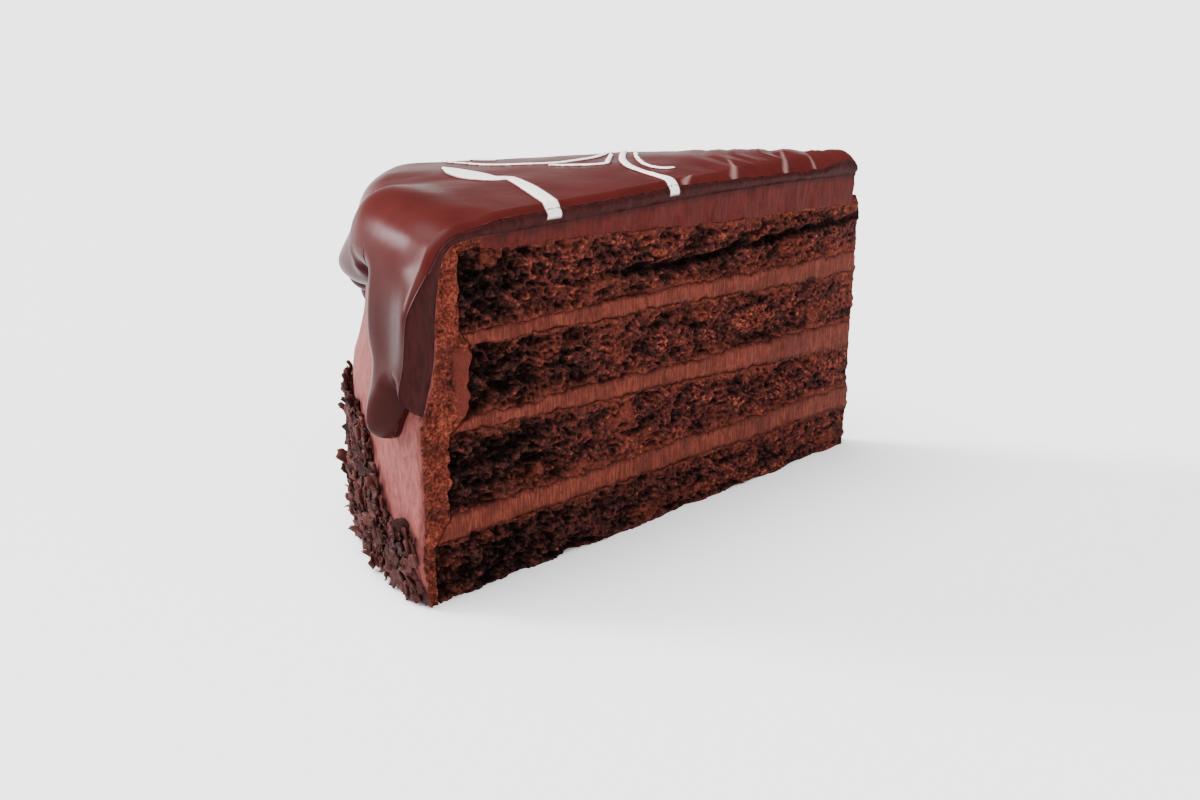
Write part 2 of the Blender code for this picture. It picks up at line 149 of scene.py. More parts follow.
def cut_normals(across):
    side = np.where(across < 0.5, -1.0, 1.0) * math.cos(SLICE_ANGLE / 2.0)
    return np.stack((np.full_like(side, math.sin(SLICE_ANGLE / 2.0)), side, 0.0 * side), axis=-1)


def waves(*axes):
    """Smooth noise between about -1 and 1 at each place given by three arrays."""
    places = np.stack(np.broadcast_arrays(*axes), axis=-1)
    return np.array([noise.noise(place) for place in places.tolist()])


def cells(*axes):
    """How far each place is inside its lump: 0 in the cracks between lumps, 1 well inside."""
    places = np.stack(np.broadcast_arrays(*axes), axis=-1)
    near = np.array([noise.voronoi(place)[0][:2] for place in places.tolist()])
    return np.clip((near[:, 1] - near[:, 0]) * 1.8, 0.0, 1.0)


def seam_heights(seam, inward, across):
    """Height of a seam, with a slow wave and the crumbs that break its line at the cut."""
    at_rim, at_tip, _ = SEAMS[seam]
    heights = mix(at_rim, at_tip, inward / CUT_LENGTH)
    if seam == 0:
        return heights
    heights = heights + SEAM_WAVE * waves(inward / SEAM_WAVE_LENGTH, 3.7 * seam, 0.5)
    for size, stands in SEAM_CRUMBS:
        heights = heights + stands * waves(inward / size, across * 40.0, 5.1 * seam)
    return heights


def wall_depths(height):
    """How deep the coat on the rim is at each height, with the crumbs that break its line."""
    depth = np.interp(height, [seam[0] for seam in SEAMS], [seam[2] for seam in SEAMS])
    room = np.clip((depth - WALL_STRAIGHT) / WALL_LOOSE, 0.0, 1.0)
    for size, stands in WALL_CRUMBS:
        depth = depth + room * stands * waves(height / size, 0.4, 900.0 * size)
    return depth


def block_skin(counts):
    """Grid steps and four-sided faces of the skin of a block of counts steps."""
    sizes = np.array(counts) + 1
    faces = []
    for axis in range(3):
        one, two = (axis + 1) % 3, (axis + 2) % 3
        i, j = np.meshgrid(np.arange(counts[one]), np.arange(counts[two]), indexing="ij")
        for side in (0, counts[axis]):
            ring = []
            for di, dj in ((0, 0), (1, 0), (1, 1), (0, 1)):
                step = [0, 0, 0]
                step[axis], step[one], step[two] = np.full_like(i, side), i + di, j + dj
                ring.append((step[0] * sizes[1] + step[1]) * sizes[2] + step[2])
            faces.append(np.stack(ring if side else ring[::-1], axis=-1).reshape(-1, 4))
    used, faces = np.unique(np.concatenate(faces), return_inverse=True)
    return np.stack(np.unravel_index(used, sizes), axis=-1), faces.reshape(-1, 4)


def make_piece(name, points, faces, material, marks=None):
    """A smooth mesh object; marks are named numbers kept on its vertices for the material."""
    mesh = bpy.data.meshes.new(name)
    mesh.from_pydata(points.tolist(), [], faces.tolist())
    for mark, values in (marks or {}).items():
        kept = mesh.attributes.new(mark, "FLOAT", "POINT")
        kept.data.foreach_set("value", values.astype(np.float32))
    mesh.materials.append(material)
    mesh.shade_smooth()
    piece = bpy.data.objects.new(name, mesh)
    bpy.context.scene.collection.objects.link(piece)
    return piece


class Value:
    """An output of a node, so that sums and products of outputs read as plain maths."""

    def __init__(self, nodes, socket):
        self.nodes = nodes
        self.socket = socket

    def maths(self, operation, *terms):
        return self.nodes.node("ShaderNodeMath", {"operation": operation}, dict(enumerate(terms)))

    def __add__(self, other):
        return self.maths("ADD", self, other)

    def __sub__(self, other):
        return self.maths("SUBTRACT", self, other)

    def __rsub__(self, other):
        return self.maths("SUBTRACT", other, self)

    def __mul__(self, other):
        return self.maths("MULTIPLY", self, other)

    __radd__ = __add__
    __rmul__ = __mul__


class Nodes:
    """The nodes of a material or of the world, which are added one by one."""

    def __init__(self, tree):
        self.tree = tree

    def node(self, kind, settings, sockets, output=0):
        made = self.tree.nodes.new(kind)
        for setting, value in settings.items():
            if setting == "stops":
                while len(made.color_ramp.elements) < len(value):
                    made.color_ramp.elements.new(0.5)
                for element, (position, colour) in zip(made.color_ramp.elements, value):
                    element.position = position
                    element.color = (*colour, 1.0)
            else:
                setattr(made, setting, value)
        for socket, value in sockets.items():
            if isinstance(value, Value):
                self.feed(value, made.inputs[socket])
            else:
                made.inputs[socket].default_value = value
        return Value(self, made.outputs[output])

    def feed(self, value, socket):
        self.tree.links.new(value.socket, socket)


class Finish(Nodes):
    """A material: its fixed numbers are set at once, and then what changes over it."""

    def __init__(self, name, fixed):
        self.material = bpy.data.materials.new(name)
        self.material.use_nodes = True
        super().__init__(self.material.node_tree)
        self.shader = self.tree.nodes["Principled BSDF"]
        for socket, value in fixed.items():
            self.shader.inputs[socket].default_value = value
        self.place = self.node("ShaderNodeTexCoord", {}, {}, "Object")

    def mark(self, name):
        return self.node("ShaderNodeAttribute", {"attribute_name": name}, {}, "Fac")

    def grain(self, size, detail=3.0, stretch=(1.0, 1.0, 1.0), roughness=0.6):
        """Noise of 0 to 1 whose features are about size across, drawn out by stretch."""
        sockets = {0: self.place, 1: tuple(1.0 / (size * length) for length in stretch)}
        place = self.node("ShaderNodeVectorMath", {"operation": "MULTIPLY"}, sockets)
        sockets = {"Vector": place, "Scale": 1.0, "Detail": detail, "Roughness": roughness}
        return self.node("ShaderNodeTexNoise", {}, sockets, "Fac")

    def granules(self, size):
        """A number of 0 to 1 for each small lump about size across."""
        sockets = {0: self.place, "Scale": 1.0 / size}
        place = self.node("ShaderNodeVectorMath", {"operation": "SCALE"}, sockets)
        return self.node("ShaderNodeTexVoronoi", {}, {"Vector": place, "Scale": 1.0}, "Color")

    def ranged(self, value, low, high):
        """The value spread so that low becomes 0 and high becomes 1, and held there."""
        return self.node("ShaderNodeMapRange", {"interpolation_type": "SMOOTHSTEP"},
                         {"Value": value, "From Min": low, "From Max": high}, "Result")

    def tones(self, value, stops):
        return self.node("ShaderNodeValToRGB", {"stops": stops}, {"Fac": value}, "Color")

    def blend(self, share, first, second):
        """The first colour where the share is 0, and the second where it is 1."""
        pair = [(*shade, 1.0) if isinstance(shade, tuple) else shade for shade in (first, second)]
        sockets = {0: share, 6: pair[0], 7: pair[1]}
        return self.node("ShaderNodeMix", {"data_type": "RGBA"}, sockets, 2)

    def bumped(self, height, distance, strength):
        sockets = {"Height": height, "Distance": distance, "Strength": strength}
        return self.node("ShaderNodeBump", {}, sockets, "Normal")

    def shade(self, colour, normal):
        self.feed(colour, self.shader.inputs["Base Color"])
        self.feed(normal, self.shader.inputs["Normal"])


def torn(points, inward, across, depth, relief):
    """Moves the points of both cuts along their normals by the tear and the finer relief."""
    pit = 0.5 + 0.5 * waves(*(points / TEAR_SIZE).T)
    room = np.minimum((CUT_LENGTH - inward) / TIP_ROOM + 0.1, 1.0)
    sink = depth * (pit * pit * (1.0 + TEAR_PROUD) - TEAR_PROUD) + relief
    return points - cut_normals(across) * (sink * room)[:, None], sink


def sponge_relief(inward, across, height, seam):
    """Depth of the crumb's holes, less the height of its lumps, at each point of a cut."""
    side = across * CUTS_APART + seam * 3.3
    denser = DENSER_BY * (1.0 - smooth_step(inward, *DENSER_LEFT))
    relief = np.zeros_like(inward)
    for number, (length, tall, deep) in enumerate(HOLES):
        hollow = waves(inward / length, height / tall, side + 7.0 * number)
        relief += deep * smooth_step(hollow + denser, *HOLE_OPENS)
    bend = 0.35 * waves(inward / 0.002, height / 0.002, side + 1.5)
    for number, (size, stands) in enumerate(LUMPS):
        lump = cells(inward / size * 0.8 + bend, height / size + bend, side + 11.0 * number)
        relief += stands * (0.5 - np.sqrt(lump))
    for size, stands in GRAINS:
        relief += stands * waves(inward / size, height / size, side + 17.0)
    if seam == TOP_SEAM - 1:
        line = np.interp(inward, *zip(*CREVICE))
        line += CREVICE_WANDERS * waves(inward / 0.006, side, 2.0)
        opened = smooth_step(inward, *CREVICE_STARTS)
        opened *= 0.75 + 0.4 * waves(inward / 0.004, side, 8.0)
        relief += CREVICE_DEPTH * opened * np.exp(-((height - line) / CREVICE_HEIGHT) ** 2)
    return relief


def tip_ragged(height, across):
    """How far the torn thin end stands out at each height."""
    ragged = np.zeros_like(height)
    for size, stands in TIP_TEARS:
        ragged += stands * waves(height / size, across * 2.0, 7.0 + 900.0 * size)
    return ragged


def layer_places(seam, counts, steps):
    """Inward, across and height of every vertex of a layer, between its two seams."""
    along, across, up = (steps / np.array(counts)).T
    rim_height = mix(SEAMS[seam][0], SEAMS[seam + 1][0], up)
    inward = mix(wall_depths(rim_height) + 2.0 * GAP, CUT_LENGTH - TIP_BLUNT, along)
    height = mix(seam_heights(seam, inward, across), seam_heights(seam + 1, inward, across), up)
    inward = np.where(along == 1.0, inward + tip_ragged(height, across), inward)
    return inward, across, height, up


sponge_finish = Finish("Torn chocolate sponge", {"Roughness": 0.95, "Specular IOR Level": 0.05})
fine = sponge_finish.grain(0.0008, 5.0, roughness=0.75)
coarse = sponge_finish.grain(0.0050, 3.0)
sunk = sponge_finish.mark("sunk")
smear = sponge_finish.mark("smear")
granule = sponge_finish.granules(0.0007)
# Painted shade: the crumb is coloured darker where its holes and tear go deeper
tone = 0.75 - 0.58 * sunk + (fine - 0.5) * 1.15 + (granule - 0.5) * 0.50 + (coarse - 0.5) * 0.35
crumb_colour = sponge_finish.tones(tone, SPONGE_TONES)
dragged = sponge_finish.grain(0.0006, 3.0, (1.2, 1.2, 7.0))
smear_colour = sponge_finish.tones(dragged * 0.6 + granule * 0.4, SMEAR_TONES)
smeared = smear * sponge_finish.ranged(dragged, 0.25, 0.6)
crumb_colour = sponge_finish.blend(smeared, crumb_colour, smear_colour)
crumb_bump = sponge_finish.bumped(fine, 0.0005, 0.9)
sponge_finish.shade(crumb_colour, crumb_bump)

for seam, layer in enumerate(LAYERS):
    if not layer.startswith("sponge"):
        continue
    steps, faces = block_skin(SPONGE_STEPS)
    inward, across, height, up = layer_places(seam, SPONGE_STEPS, steps)
    points = slice_points(inward, across, height)
    on_cut = (across == 0.0) | (across == 1.0)
    relief = sponge_relief(inward[on_cut], across[on_cut], height[on_cut], seam)
    edge = np.minimum(up, 1.0 - up)[on_cut]
    relief *= mix(SEAM_RELIEF, 1.0, smooth_step(edge, 0.0, 0.10))
    moved, sink = torn(points[on_cut], inward[on_cut], across[on_cut], TEAR_DEPTH["sponge"], relief)
    points[on_cut] = moved
    # Painted shade of the holes and tear, by their depth, and darker towards the rim
    sunk = np.full(len(points), 0.5)
    depth = mix(relief, sink, TEAR_SHARE)
    sunk[on_cut] = np.clip(FACE_DARK + depth / DARKEST_DEPTH, 0.0, 1.0)
    sunk[on_cut] += LEFT_DARK * (1.0 - smooth_step(inward[on_cut], *DARKER_LEFT[seam]))
    points[:, 2] = np.maximum(points[:, 2], 0.0)
    smear = np.zeros(len(points))
    from_filling = np.minimum(up if seam else 1.0, 1.0 - up)
    near_filling = np.exp(-from_filling / SMEAR_REACH)
    patch = waves(inward / 0.011, height / 0.006, across * 9.0 + seam)
    smear[on_cut] = (0.95 * near_filling + 0.8 * smooth_step(patch, 0.15, 0.5))[on_cut]
    smear[on_cut] *= 1.0 - 0.75 * smooth_step(sink, 0.0002, 0.0014)
    piece = make_piece(f"{layer}_crumb", points, faces, sponge_finish.material,
                       {"sunk": sunk, "smear": np.clip(smear, 0.0, 1.0)})
    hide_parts(layer)
    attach(piece, "root")


# Fillings. Three layers of chocolate buttercream between the sponges, smooth and paler,
# with the fine upright lines that the knife dragged in them.

FILLING_STEPS = (360, 4, 12)
FILLING_DRAG = ((0.0009, 0.00016), (0.0028, 0.00022))
EDGE_WIDTH = 0.22
EDGE_SINKS = 0.0003
EDGE_STANDS = 0.0004
EDGE_CRUMB = 0.0013
CREAM_TONES = (
    (0.25, (0.028, 0.0054, 0.0040)),
    (0.55, (0.072, 0.0145, 0.0092)),
    (0.85, (0.180, 0.0410, 0.0245)),
)
CAUGHT_CRUMB = (0.020, 0.0050, 0.0035)

filling_finish = Finish("Chocolate buttercream", {"Roughness": 0.65, "Specular IOR Level": 0.06})
lines = filling_finish.grain(0.00042, 3.0, (1.0, 1.0, 9.0))
clouds = filling_finish.grain(0.006, 3.0)
rough_edge = filling_finish.mark("edge")
cream_tone = lines * 0.75 + clouds * 0.45 - rough_edge * 0.30 * filling_finish.grain(0.0012, 4.0)
cream_colour = filling_finish.tones(cream_tone, CREAM_TONES)
specks = filling_finish.grain(0.0010, 5.0, roughness=0.7)
caught = filling_finish.ranged(specks + rough_edge * 0.14, 0.54, 0.74)
cream_colour = filling_finish.blend(caught, cream_colour, CAUGHT_CRUMB)
cream_bump = filling_finish.bumped(lines, 0.00025, 0.7)
filling_finish.shade(cream_colour, cream_bump)

for seam, layer in enumerate(LAYERS):
    if not layer.startswith("filling"):
        continue
    steps, faces = block_skin(FILLING_STEPS)
    inward, across, height, up = layer_places(seam, FILLING_STEPS, steps)
    points = slice_points(inward, across, height)
    on_cut = (across == 0.0) | (across == 1.0)
    from_rim, above, side = inward[on_cut], height[on_cut], across[on_cut] * CUTS_APART + seam
    relief = np.zeros_like(from_rim)
    for size, stands in FILLING_DRAG:
        relief += stands * waves(from_rim / size, above / (9.0 * size), side)
    edge = 1.0 - smooth_step(np.minimum(up, 1.0 - up), 0.0, EDGE_WIDTH)
    crumbled = EDGE_SINKS + EDGE_STANDS * waves(from_rim / EDGE_CRUMB, above / EDGE_CRUMB, side)
    relief += edge[on_cut] * crumbled
    moved, _ = torn(points[on_cut], from_rim, across[on_cut], TEAR_DEPTH["filling"], relief)
    points[on_cut] = moved
    piece = make_piece(f"{layer}_cream", points, faces, filling_finish.material, {"edge": edge})
    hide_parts(layer)
    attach(piece, "root")


# Frosting coat. One coat of chocolate frosting over the top and down the rim, brushed
# smooth outside; at the cuts its edge on the rim is a band of orange-brown crumb coat.

COAT_OUTLINE = (
    (0.1278, 0.0704),
    (0.1000, 0.0713),
    (0.0700, 0.0713),
    (0.0400, 0.0706),
    (0.0200, 0.0703),
    (0.0095, 0.0699),
    (0.0061, 0.0681),
    (0.0046, 0.0640),
    (0.0036, 0.0580),
    (0.0026, 0.0480),
    (0.0006, 0.0410),
    (-0.0010, 0.0360),
    (-0.0010, 0.0200),
    (-0.0016, 0.0090),
    (-0.0004, 0.0000),
)
CORNER = 0.1205
COAT_TOP_ROWS = 160
COAT_RIM_ROWS = 170
COAT_ACROSS = 44
COAT_THROUGH = 22
COAT_CRUMBS = ((0.0016, 0.00035), (0.0007, 0.00030))
KNIFE_MARKS = ((0.0012, 0.00020), (0.0040, 0.00030))
BRUSH_STANDS = 0.00028
COAT_MARKS = ("cut", "crumbly", "top", "sunk", "strip", "under")

# Where the top frosting takes over from the crumb coat, and the smooth strip beside it:
# between which distances from the rim it starts, and between which heights it comes in
# at its foot and goes out at its top
TOP_TAKES_OVER = (0.009, 0.020)
STRIP_STARTS = (0.0068, 0.0078)
STRIP_FOOT = (0.0355, 0.0375)
STRIP_TOP = (0.0490, 0.0505)
# Between which depths below the glaze's edge the cut frosting turns dark: partly glaze smeared over
# it by the knife, partly painted shade under the glaze's lip
SMEAR_AND_SHADE_DEPTHS = (0.0002, 0.0017)

RIM_TONES = ((0.3, (0.108, 0.0300, 0.0265)), (0.7, (0.205, 0.0640, 0.0580)))
FLECK_COLOUR = (0.080, 0.0170, 0.0130)
CRUMB_COAT_TONES = (
    (0.24, (0.010, 0.0022, 0.0016)),
    (0.46, (0.086, 0.0150, 0.0085)),
    (0.74, (0.300, 0.0680, 0.0360)),
)
TOP_CUT_TONES = ((0.30, (0.024, 0.0036, 0.0030)), (0.75, (0.082, 0.0125, 0.0098)))
GLAZE_SMEAR_AND_SHADE = (0.026, 0.0054, 0.0050)
STRIP_COLOUR = (0.078, 0.0135, 0.0098)


class Outline:
    """A smooth curve through points of two or more numbers, read by the distance along it."""

    STEPS = 16

    def __init__(self, points):
        first = tuple(2 * a - b for a, b in zip(points[0], points[1]))
        last = tuple(2 * a - b for a, b in zip(points[-1], points[-2]))
        held = [first, *points, last]
        places = []
        for i in range(1, len(held) - 2):
            for step in range(self.STEPS + (i == len(held) - 3)):
                places.append(self.between(held[i - 1 : i + 3], step / self.STEPS))
        self.places = np.array(places)
        runs = np.diff(self.places, axis=0)
        self.lengths = np.concatenate(([0.0], np.cumsum(np.linalg.norm(runs, axis=1))))
        self.total = self.lengths[-1]
        turns = np.gradient(self.places, self.lengths, axis=0)
        self.outs = np.stack((turns[:, 1], -turns[:, 0]), axis=-1)

    @staticmethod
    def between(four, share):
        """A Hermite span whose slopes allow for how far apart the points are."""
        values = []
        before, start, end, after = four
        span = math.dist(start, end)
        square, cube = share**2, share**3
        for axis in range(len(start)):
            slope_in = (end[axis] - before[axis]) / (math.dist(before, start) + span) * span
            slope_out = (after[axis] - start[axis]) / (span + math.dist(end, after)) * span
            left = (2 * cube - 3 * square + 1) * start[axis] + (cube - 2 * square + share) * slope_in
            values.append(left + (3 * square - 2 * cube) * end[axis] + (cube - square) * slope_out)
        return values

    def at(self, distance):
        """Inward, height, and the outward direction as (inward, height), at distances."""
        sides = (*self.places.T, *self.outs.T)
        read = [np.interp(distance, self.lengths, side) for side in sides]
        inward, height, out_inward, out_height = read
        size = np.hypot(out_inward, out_height)
        return inward, height, out_inward / size, out_height / size

    def down_to(self, height):
        """Distance at which the rim side of the curve comes down to a height."""
        turn = int(np.searchsorted(self.lengths, CORNER))
        return np.interp(-height, -self.places[turn:, 1], self.lengths[turn:])


COAT = Outline(COAT_OUTLINE)
top_rows = np.linspace(0.0, 1.0, COAT_TOP_ROWS + 1)
rim_rows = np.linspace(SEAMS[TOP_SEAM][0], 0.0, COAT_RIM_ROWS + 1)[1:]
down_rim = 1.0 - rim_rows / SEAMS[TOP_SEAM][0]
outer_at = np.concatenate((top_rows * CORNER, mix(CORNER, COAT.total, down_rim)))
under_top = mix(COAT_OUTLINE[0][0], SEAMS[TOP_SEAM][2], top_rows)
inner_inward = np.concatenate((under_top, wall_depths(rim_rows)))

coat_counts = (len(outer_at) - 1, COAT_ACROSS, COAT_THROUGH)
steps, faces = block_skin(coat_counts)
along = steps[:, 0]
across = steps[:, 1] / COAT_ACROSS
through = steps[:, 2] / COAT_THROUGH
outer_inward, outer_height, _, _ = COAT.at(outer_at[along])
under_inward = inner_inward[along]
under_height = np.where(along <= COAT_TOP_ROWS, seam_heights(TOP_SEAM, under_inward, across),
                        np.concatenate((np.zeros(COAT_TOP_ROWS + 1), rim_rows))[along])
inward = mix(under_inward, outer_inward, through)
height = mix(under_height, outer_height, through)
inward = np.where(along == 0, inward + tip_ragged(height, across), inward)
points = slice_points(inward, across, height)
on_cut = (across == 0.0) | (across == 1.0)
from_rim, above, side = inward[on_cut], height[on_cut], across[on_cut] * CUTS_APART
on_top = smooth_step(from_rim, *TOP_TAKES_OVER)
smooth_strip = smooth_step(from_rim, *STRIP_STARTS) * smooth_step(above, *STRIP_FOOT)
smooth_strip *= 1.0 - smooth_step(above, *STRIP_TOP)
crumbly = (1.0 - on_top) * (1.0 - smooth_strip)
relief = np.zeros_like(from_rim)
for size, stands in COAT_CRUMBS:
    relief += crumbly * stands * waves(from_rim / size, above / size, side)
for size, stands in KNIFE_MARKS:
    relief += on_top * stands * waves(from_rim / size, above / (6.0 * size), side + 3.0)
moved, sink = torn(points[on_cut], from_rim, across[on_cut], TEAR_DEPTH["coat"], relief)
points[on_cut] = moved
marks = {mark: np.zeros(len(points)) for mark in COAT_MARKS}
marks["cut"][on_cut] = np.maximum(smooth_step(-through[on_cut], -1.0, -0.93), on_top)
marks["crumbly"][on_cut] = crumbly
# Darkening just below the glaze on the cut: partly glaze smeared down by the knife, partly painted
# shade
depth_below_glaze = outer_height[on_cut] - above + 0.0009 * waves(from_rim / 0.0035, side, 6.0)
depth_below_glaze += 0.0006 * waves(from_rim / 0.0012, side, 8.0)
marks["under"][on_cut] = on_top * (1.0 - smooth_step(depth_below_glaze, *SMEAR_AND_SHADE_DEPTHS))
marks["top"][on_cut] = on_top
marks["strip"][on_cut] = smooth_strip
# Painted shade where the tear sinks the cut coat, used to darken the crumb coat's colour
marks["sunk"][on_cut] = np.clip(0.5 + sink / 0.0010, 0.0, 1.0)
on_rim = (through == 1.0) & (along > COAT_TOP_ROWS) & ~on_cut
along_rim = across[on_rim] * RIM_LENGTH
points[on_rim, 0] -= BRUSH_STANDS * waves(along_rim / 0.006, height[on_rim] / 0.016, 4.0)

coat_finish = Finish("Chocolate frosting", {"Roughness": 0.60, "Specular IOR Level": 0.06})
brushed = coat_finish.grain(0.0008, 4.0, (1.0, 1.0, 3.4))
flecks = coat_finish.ranged(coat_finish.grain(0.0012, 5.0, (1.0, 1.0, 1.6), 0.75), 0.53, 0.66)
rim_colour = coat_finish.tones(brushed, RIM_TONES)
rim_colour = coat_finish.blend(flecks * 0.5, rim_colour, FLECK_COLOUR)
granules = coat_finish.grain(0.00060, 4.0, roughness=0.75)
# Painted shade: the crumb coat is darker where the tear sinks it
crumb_tone = granules * 1.15 - coat_finish.mark("sunk") * 0.30 + 0.02
crumb_coat = coat_finish.tones(crumb_tone, CRUMB_COAT_TONES)
scraped = coat_finish.grain(0.0007, 4.0, (1.0, 1.0, 5.0))
top_tone = scraped * 0.8 + coat_finish.grain(0.005, 3.0) * 0.35
top_cut = coat_finish.tones(top_tone, TOP_CUT_TONES)
# Partly smeared glaze and partly painted shade along the top of the cut frosting
top_cut = coat_finish.blend(coat_finish.mark("under") * 0.85, top_cut, GLAZE_SMEAR_AND_SHADE)
cut_colour = coat_finish.blend(coat_finish.mark("top"), crumb_coat, top_cut)
cut_colour = coat_finish.blend(coat_finish.mark("strip") * 0.75, cut_colour, STRIP_COLOUR)
coat_colour = coat_finish.blend(coat_finish.mark("cut"), rim_colour, cut_colour)
coat_height = brushed * 0.6 + granules * coat_finish.mark("crumbly") * 1.6
coat_height = coat_height + scraped * coat_finish.mark("top")
coat_bump = coat_finish.bumped(coat_height, 0.00035, 0.8)
coat_finish.shade(coat_colour, coat_bump)

coat_piece = make_piece("frosting_coat_brushed", points, faces, coat_finish.material, marks)
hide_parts("frosting_coat")
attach(coat_piece, "root")


# Chocolate flakes. Dark shavings, 2 to 4 mm long, pressed by hand on the foot of the
# rim, where they lie over each other like shingles and a few stand out.

FLAKE_PITCH = 0.0017
FLAKE_FOOT = 0.0016
FLAKE_LOW_TOP = 0.0155
FLAKE_HIGH_TOP = 0.0315
FLAKE_RISES = (0.010, 0.026)
FLAKE_CLEAR = 0.0008
FLAKE_STEPS = (7, 3, 1)
FLAKE_LENGTHS = (0.0017, 0.0042)
FLAKE_WIDTHS = (0.45, 0.90)
FLAKE_THICKNESSES = (0.00030, 0.00060)
FLAKE_LOWEST = 0.0001
FLAKE_TONES = ((0.2, (0.0100, 0.0034, 0.0030)), (0.9, (0.0700, 0.0200, 0.0170)))


def rim_frame(across, height):
    """A frame on the coat's rim: X along the rim towards the near cut, Y up, Z out of the coat."""
    inward = float(COAT.at(COAT.down_to(height))[0])
    places = (np.full(2, inward), np.array((across, across + 0.01)), np.full(2, height))
    point, beside = slice_points(*places)
    along = Vector(point - beside)
    along.z = 0.0
    along.normalize()
    up = Vector((0.0, 0.0, 1.0))
    placed = Matrix((along, up, along.cross(up))).transposed().to_4x4()
    placed.translation = Vector(point)
    return placed


flake_skin = block_skin(FLAKE_STEPS)
flake_grid = flake_skin[0] / np.array(FLAKE_STEPS)


def flake_points(rng, placed):
    """One shaving: a thin leaf, curled along its length, ragged at its ends."""
    u, v, w = flake_grid.T
    length = rng.uniform(*FLAKE_LENGTHS)
    width = length * rng.uniform(*FLAKE_WIDTHS)
    thick = rng.uniform(*FLAKE_THICKNESSES)
    seed = rng.uniform(0.0, 90.0)
    leaf = np.sin(math.pi * np.clip(0.10 + 0.84 * u, 0.0, 1.0)) ** rng.uniform(0.15, 0.45)
    x = (u - 0.5) * length
    y = (v - 0.5) * width * leaf * (1.0 + 0.25 * waves(u * 5.0, v * 2.0, seed))
    curl = rng.uniform(-0.25, 0.8) * length
    z = curl * (u - 0.5) ** 2 + 0.6 * width * (v - 0.5) ** 2
    z = z + 0.00035 * waves(u * 3.0, v * 3.0, seed + 5.0)
    z = z + (w - 0.5) * thick * (0.45 + 0.55 * leaf)
    lean = math.pi / 2.0 + rng.gauss(0.0, 0.42)
    tipped = abs(rng.gauss(0.08, 0.11))
    if rng.random() < 0.04:
        tipped += rng.uniform(0.4, 0.9)
    rolled = Matrix.Rotation(rng.gauss(0.0, 0.35), 4, "X")
    turned = Matrix.Rotation(lean, 4, "Z") @ Matrix.Rotation(-tipped, 4, "Y") @ rolled
    raised = rng.uniform(0.0002, 0.0013) + 0.42 * length * math.sin(tipped)
    whole = np.array(placed @ Matrix.Translation((0.0, 0.0, raised)) @ turned)
    local = np.stack((x, y, z, np.ones_like(x)), axis=-1)
    return (local @ whole.T)[:, :3]


rng = random.Random(11)
flake_parts, flake_tones = [], []
rows = int((FLAKE_HIGH_TOP + 0.003 - FLAKE_FOOT) / FLAKE_PITCH) + 1
columns = int(RIM_LENGTH / FLAKE_PITCH) + 1
for row in range(rows):
    for column in range(columns):
        along_rim = FLAKE_CLEAR + (column + rng.uniform(-0.5, 0.5)) * FLAKE_PITCH
        height = FLAKE_FOOT + (row + rng.uniform(-0.5, 0.5)) * FLAKE_PITCH
        reach = mix(FLAKE_LOW_TOP, FLAKE_HIGH_TOP, float(smooth_step(along_rim, *FLAKE_RISES)))
        reach += rng.gauss(0.0, 0.0012)
        if not FLAKE_CLEAR < along_rim < RIM_LENGTH - FLAKE_CLEAR or height > reach:
            continue
        points = flake_points(rng, rim_frame(along_rim / RIM_LENGTH, max(height, FLAKE_FOOT)))
        lowest = points[:, 2].min()
        if lowest < FLAKE_LOWEST:
            points[:, 2] += FLAKE_LOWEST - lowest
        flake_parts.append(points)
        flake_tones.append(np.full(len(points), rng.random()))

count = len(flake_grid)
faces = np.concatenate([flake_skin[1] + count * i for i in range(len(flake_parts))])
flake_finish = Finish("Shaved dark chocolate", {"Roughness": 0.50, "Specular IOR Level": 0.08})
flake_grain = flake_finish.grain(0.0007, 4.0)
flake_tone = flake_finish.mark("own") * 0.6 + flake_grain * 0.5
flake_colour = flake_finish.tones(flake_tone, FLAKE_TONES)
flake_finish.shade(flake_colour, flake_finish.bumped(flake_grain, 0.0002, 0.8))
points = np.concatenate(flake_parts)
marks = {"own": np.concatenate(flake_tones)}
flake_piece = make_piece("chocolate_flakes", points, faces, flake_finish.material, marks)
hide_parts("frosting_coat")
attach(flake_piece, "root")


# Glaze. Warm ganache poured on the top, 3.5 mm thick: it ran over the shoulder and set
# as drips down the rim. White chocolate was trailed in it and pulled out in swirls.

GLAZE_THICK = 0.0035
GLAZE_EDGE_ROUND = 0.0042
GLAZE_LEAST = 0.0004
GLAZE_HEM = 0.0605
GLAZE_CUT_LIP = 0.0007
GLAZE_TIP_ROUND = 0.0030
GLAZE_TIP_EDGE = 0.25
SWELL_STARTS = 0.0120
HEM_STEP = 0.00015
HEM_DENSER = 1.35
LIP_ROWS = 7
LIP_BULGE = 0.0005
LIP_WAVY = 0.00025

# At the cuts the glaze is rounded off, over these widths and by these shares of the lip,
# on the flat and at the tip; the set skin is wrinkled there by folds, which are given as
# height, length inwards, slant, length across, and which pattern
TIP_WRINKLED = (0.070, 0.100)
CUT_ROUNDS = (0.0016, 0.0034)
CUT_LOWERS = (1.6, 2.8)
GLAZE_UNEVEN = 0.00022
FOLDS = ((0.00055, 0.0042, 0.009, 0.020, 3.0), (0.00015, 0.0012, 0.004, 0.012, 5.0))

